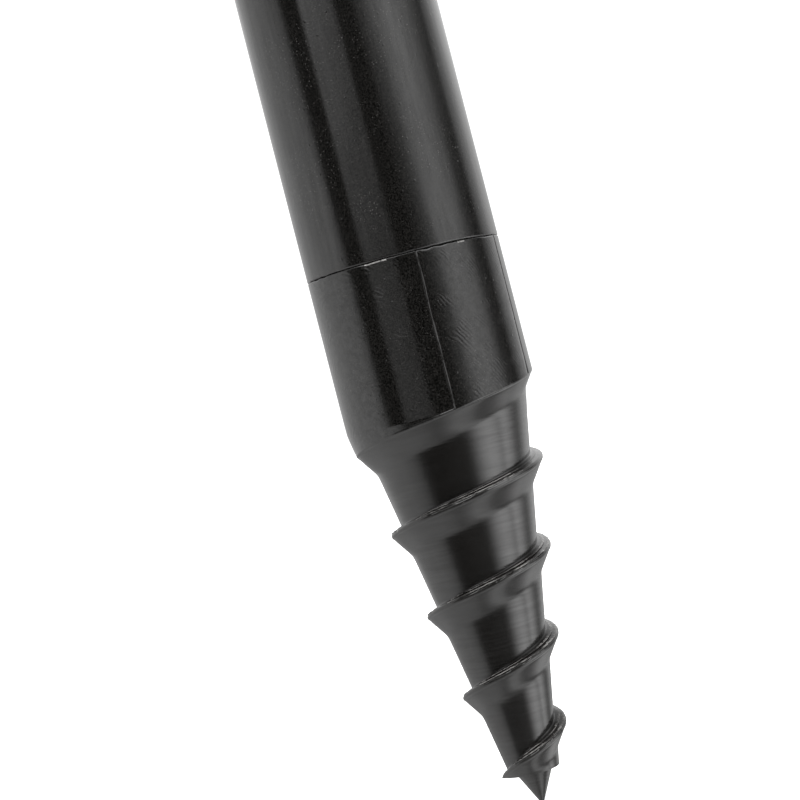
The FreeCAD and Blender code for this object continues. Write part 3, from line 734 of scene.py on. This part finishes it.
def crest_plastic_highlit():
    """The thread's edge: nicked and slightly polished, painted paler than the rest of the thread; the paler
    colour and pale specks are partly whitened nicks and partly painted highlight and glints along the edge.
    """
    shader = Shader("crest_plastic_highlit", DUSTY, 0.16)
    shader.bump(shader.noise(620, 4, 0.6), 0.05)
    worn = shader.noise(240, 3, 0.6)
    shader.roughness(worn, 0.08, 0.26)
    # painted glints: pale specks on the crest, partly whitened nicks and partly standing in for light caught
    # by the nicked edge
    whitened_and_glints = shader.remap(shader.noise(300, 4, 0.7), 0.6, 0.76, 0.0, 1.0)
    shader.color(whitened_and_glints, DUSTY, (0.1, 0.097, 0.094))
    return shader.done()


def scuffed_and_highlit_edge():
    """The torn lines along the thread: a pale colour that is partly real scuffing and partly painted
    highlight standing in for the light their edges catch, paler still in scuffed places.
    """
    shader = Shader("scuffed_and_highlit_edge", DUST, 0.3)
    shader.bump(shader.noise(900, 3, 0.6), 0.04)
    scuffs_and_glints = shader.remap(shader.noise(160, 4, 0.7), 0.42, 0.62, 0.0, 1.0)
    shader.roughness(scuffs_and_glints, 0.14, 0.4)
    # painted highlight: the pale colour along the torn lines stands in for the light their edges catch, on
    # top of real scuffing
    shader.color(scuffs_and_glints, (0.03, 0.029, 0.028), (0.16, 0.155, 0.15))
    return shader.done()


def torn_plastic():
    """Flash torn off the seam: stretched plastic that has turned pale."""
    shader = Shader("torn_plastic", DUST, 0.4)
    shader.bump(shader.noise(1300, 3, 0.7), 0.08)
    stretched = shader.remap(shader.noise(700, 3, 0.7), 0.4, 0.62, 0.0, 1.0)
    shader.roughness(stretched, 0.2, 0.5)
    shader.color(stretched, (0.025, 0.024, 0.023), (0.19, 0.185, 0.18))
    return shader.done()


def worn_material(name, grain, relief, wear, rough, clean, worn):
    """An even material: a fine grain, and patches of wear that change its gloss and colour.

    grain and wear are the scale, detail and roughness of a noise; relief is the grain's height in mm.
    """
    shader = Shader(name, clean, rough[0])
    shader.bump(shader.noise(*grain), relief)
    patches = shader.noise(*wear)
    shader.roughness(patches, *rough)
    shader.color(patches, clean, worn)
    return shader.done()


def head_plastic():
    """Head and lid: moulded black plastic with a fine texture."""
    return worn_material(
        "head_plastic", grain=(1100, 3, 0.6), relief=0.012, wear=(50, 5, 0.6), rough=(0.36, 0.52),
        clean=(0.011, 0.011, 0.012), worn=(0.02, 0.02, 0.02),
    )


def knob_plastic():
    """Star knobs: smoother black plastic."""
    return worn_material(
        "knob_plastic", grain=(1000, 3, 0.6), relief=0.004, wear=(90, 4, 0.6), rough=(0.26, 0.42),
        clean=(0.011, 0.011, 0.012), worn=(0.022, 0.022, 0.022),
    )


def bush_plastic():
    """Bushes and post stop: dark grey plastic."""
    return worn_material(
        "bush_plastic", grain=(700, 3, 0.5), relief=0.004, wear=(90, 4, 0.6), rough=(0.34, 0.5),
        clean=(0.04, 0.04, 0.042), worn=(0.07, 0.07, 0.07),
    )


def pad_plastic():
    """Clamp pads: a little paler grey than the bushes."""
    return worn_material(
        "pad_plastic", grain=(800, 3, 0.5), relief=0.005, wear=(140, 4, 0.6), rough=(0.4, 0.55),
        clean=(0.05, 0.05, 0.055), worn=(0.09, 0.09, 0.09),
    )


def seal_rubber():
    """The lid's seal: dull black rubber."""
    return worn_material(
        "seal_rubber", grain=(1500, 3, 0.6), relief=0.006, wear=(160, 3, 0.6), rough=(0.55, 0.75),
        clean=(0.012, 0.012, 0.012), worn=(0.022, 0.022, 0.022),
    )


def zinc_steel(name="zinc_steel", thread_along=None):
    """Dull zinc-plated steel; a stud also has thread lines across the direction it runs along."""
    shader = Shader(name, (0.2, 0.2, 0.195), 0.4, metallic=1.0)
    spangle = shader.noise(260, 4, 0.6)
    shader.roughness(spangle, 0.34, 0.52)
    shader.color(spangle, (0.15, 0.15, 0.147), (0.24, 0.236, 0.225))
    grain = shader.noise(1400, 2, 0.5)
    shader.bump(grain, 0.002)
    if thread_along:
        along = shader.node("ShaderNodeVectorMath", operation="DOT_PRODUCT")
        along.inputs[1].default_value = thread_along
        shader.link(shader.place, along.inputs[0])
        turns = shader.math("MULTIPLY", along.outputs["Value"], 2 * math.pi / (THREAD_PITCH * MM))
        shader.bump(shader.math("SINE", turns, 0.0), 0.2)
    return shader.done()


def dress_cad_nodes():
    """Gives every CAD node that stays visible its own procedural material."""
    made = {
        "head_plastic": head_plastic(),
        "bush_plastic": bush_plastic(),
        "knob_plastic": knob_plastic(),
        "pad_plastic": pad_plastic(),
        "zinc_steel": zinc_steel(),
        "seal_rubber": seal_rubber(),
    }
    for part in frame["record"]["subparts"]:
        material = made.get(part["material_slot"])
        if material is None:
            continue
        node = nodes[part["node"]]
        if part["node"].startswith("clamp_stud"):
            low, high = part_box(part["node"])
            outward = ((low + high) / 2 * Vector((1, 1, 0))).normalized()
            material = zinc_steel(part["node"] + "_steel", tuple(outward))
        for index in range(len(node.material_slots)):
            node.material_slots[index].material = material


# ---- Camera, light and floor -------------------------------------------------------------------------


CAMERA_LENS = 95.85
CAMERA_LEAN = 14.47  # degrees of roll
CAMERA_PLACE = (-11.5, -650.7, 129.9)  # from the anchor's point


def camera():
    """The view of the photograph: level with the lower tube, with the anchor leaning 14.5 degrees."""
    lens = bpy.data.cameras.new("camera")
    lens.sensor_width = 36
    lens.lens = CAMERA_LENS
    lens.clip_end = 20
    eye = bpy.data.objects.new("camera", lens)
    lean = math.radians(CAMERA_LEAN)
    right = Vector((math.cos(lean), 0, -math.sin(lean)))
    up = Vector((math.sin(lean), 0, math.cos(lean)))
    back = Vector((0, -1, 0))
    place = (Vector(CAMERA_PLACE) + Vector((0, 0, POINT_Z))) * MM
    turn = Matrix((right, up, back)).transposed()
    eye.matrix_world = Matrix.Translation(place) @ turn.to_4x4()
    bpy.context.scene.collection.objects.link(eye)
    bpy.context.scene.camera = eye


def floor():
    """A plain pale floor just under the point."""
    size = 6.0
    mesh = bpy.data.meshes.new("floor")
    z = (POINT_Z - 0.5) * MM
    corners = [(-size, -size, z), (size, -size, z), (size, size, z), (-size, size, z)]
    mesh.from_pydata(corners, [], [(0, 1, 2, 3)])
    ground = bpy.data.objects.new("floor", mesh)
    bpy.context.scene.collection.objects.link(ground)
    ground.visible_glossy = False
    shader = Shader("floor_white", (0.85, 0.85, 0.85), 0.9)
    shader.surface.inputs["Specular IOR Level"].default_value = 0.0
    shader.surface.inputs["Emission Color"].default_value = (1, 1, 1, 1)
    shader.surface.inputs["Emission Strength"].default_value = 0.55
    mottle = shader.noise(3, 2, 0.5)
    shader.color(mottle, (0.84, 0.84, 0.84), (0.87, 0.87, 0.87))
    mesh.materials.append(shader.done())


# Brightness of the studio round the anchor by direction, in degrees from the camera's side, + to the
# right: level with it, 20 degrees below it (which the screw's core reflects), steeply below it, a little
# above it, and the wide soft panel overhead.
LEVEL_LIGHT = (
    (-180, 0.5), (-165, 0.78), (-150, 1.0), (-130, 1.25), (-115, 1.42), (-98, 1.65), (-80, 1.65), (-72, 1.2),
    (-65, 0.12), (-56, 0.03), (-47, 0.04), (-43, 0.55), (-30, 0.6), (-14, 0.42), (-7, 0.38), (-2, 0.03),
    (16, 0.02), (26, 0.2), (36, 0.7), (44, 1.8), (54, 2.6), (66, 2.5), (78, 1.9), (86, 0.95),
    (93, 0.32), (106, 0.1), (113, 0.55), (124, 1.15), (138, 1.5), (150, 1.2), (165, 0.8), (180, 0.45),
)
LOW_LIGHT = (
    (-180, 0.45), (-155, 0.6), (-135, 0.95), (-110, 1.45), (-85, 1.75), (-68, 1.5), (-58, 1.1), (-49, 0.3),
    (-40, 0.06), (-22, 0.02), (0, 0.1), (20, 0.18), (27, 0.6), (35, 1.9), (46, 4.0), (58, 5.2),
    (68, 4.8), (79, 3.2), (88, 4.6), (97, 3.4), (108, 1.5), (118, 0.75), (128, 1.0), (140, 1.3),
    (155, 0.8), (180, 0.35),
)
FLOOR_LIGHT = (
    (-180, 0.9), (-117, 1.4), (-68, 1.6), (-30, 1.3), (-12, 0.95), (0, 0.95), (25, 1.4), (46, 2.5), (74, 2.2),
    (83, 0.85), (92, 0.75), (106, 0.95), (116, 1.6), (126, 2.3), (180, 0.9),
)
TOP_LIGHT = (
    (-180, 1.4), (-90, 1.5), (-74, 1.0), (-66, 0.05), (-47, 0.1), (-42, 2.6), (-10, 1.6), (-3, 0.1),
    (14, 0.1), (22, 0.9), (35, 2.0), (50, 3.0), (66, 2.6), (90, 1.2), (104, 0.6), (116, 1.6), (140, 2.4),
    (180, 1.4),
)
BRIGHTEST = 6.0
SOFTBOX = ((-180, 0.8), (-100, 1.0), (-70, 5.5), (70, 5.5), (100, 1.6), (180, 0.8))


class World(NodeTree):
    """The studio's light as a background that depends on direction."""

    def __init__(self):
        world = bpy.data.worlds.new("studio")
        world.use_nodes = True
        bpy.context.scene.world = world
        self.tree = world.node_tree
        self.tree.nodes.clear()
        direction = self.node("ShaderNodeTexCoord").outputs["Generated"]
        split = self.node("ShaderNodeSeparateXYZ")
        self.link(direction, split.inputs["Vector"])
        behind = self.math("MULTIPLY", split.outputs["Y"], -1.0)
        azimuth = self.math("ARCTAN2", split.outputs["X"], behind)
        self.azimuth = self.math("ADD", self.math("DIVIDE", azimuth, 2 * math.pi), 0.5)
        self.elevation = self.math("ARCSINE", split.outputs["Z"], 0.0)

    def ramp(self, stops):
        """Brightness round the compass from a list of (degrees, brightness) up to BRIGHTEST."""
        ramp = self.node("ShaderNodeValToRGB")
        colors = ramp.color_ramp.elements
        while len(colors) < len(stops):
            colors.new(0.5)
        for element, (degrees, bright) in zip(colors, stops):
            element.position = (degrees + 180) / 360
            element.color = (*[bright / BRIGHTEST] * 3, 1)
        self.link(self.azimuth, ramp.inputs["Fac"])
        return self.math("MULTIPLY", ramp.outputs["Color"], BRIGHTEST)

    def blend(self, below, above, low, high):
        """below under the elevation low, above over the elevation high, in degrees."""
        remap = self.node("ShaderNodeMapRange", interpolation_type="SMOOTHSTEP")
        self.link(self.elevation, remap.inputs["Value"])
        remap.inputs["From Min"].default_value = math.radians(low)
        remap.inputs["From Max"].default_value = math.radians(high)
        mix = self.node("ShaderNodeMix", data_type="FLOAT")
        self.link(remap.outputs["Result"], mix.inputs["Factor"])
        self.link(below, mix.inputs["A"])
        self.link(above, mix.inputs["B"])
        return mix.outputs["Result"]


def studio():
    """Soft studio light: pale panels and dark gaps round the anchor, and white behind it for the camera."""
    world = World()
    light = world.blend(world.ramp(FLOOR_LIGHT), world.ramp(LOW_LIGHT), -42, -26)
    light = world.blend(light, world.ramp(LEVEL_LIGHT), -14, -9)
    light = world.blend(light, world.ramp(TOP_LIGHT), 2, 18)
    light = world.blend(light, world.ramp(SOFTBOX), 34, 42)
    seen = world.node("ShaderNodeLightPath").outputs["Is Camera Ray"]
    strength = world.node("ShaderNodeMix", data_type="FLOAT")
    world.link(seen, strength.inputs["Factor"])
    world.link(light, strength.inputs["A"])
    strength.inputs["B"].default_value = 1.6
    background = world.node("ShaderNodeBackground")
    world.link(strength.outputs["Result"], background.inputs["Strength"])
    output = world.node("ShaderNodeOutputWorld")
    world.link(background.outputs["Background"], output.inputs["Surface"])
    bpy.context.scene.view_settings.view_transform = "Standard"


# ---- Everything --------------------------------------------------------------------------------------

dress_cad_nodes()
screw_tip()
body_tube()
camera()
floor()
studio()
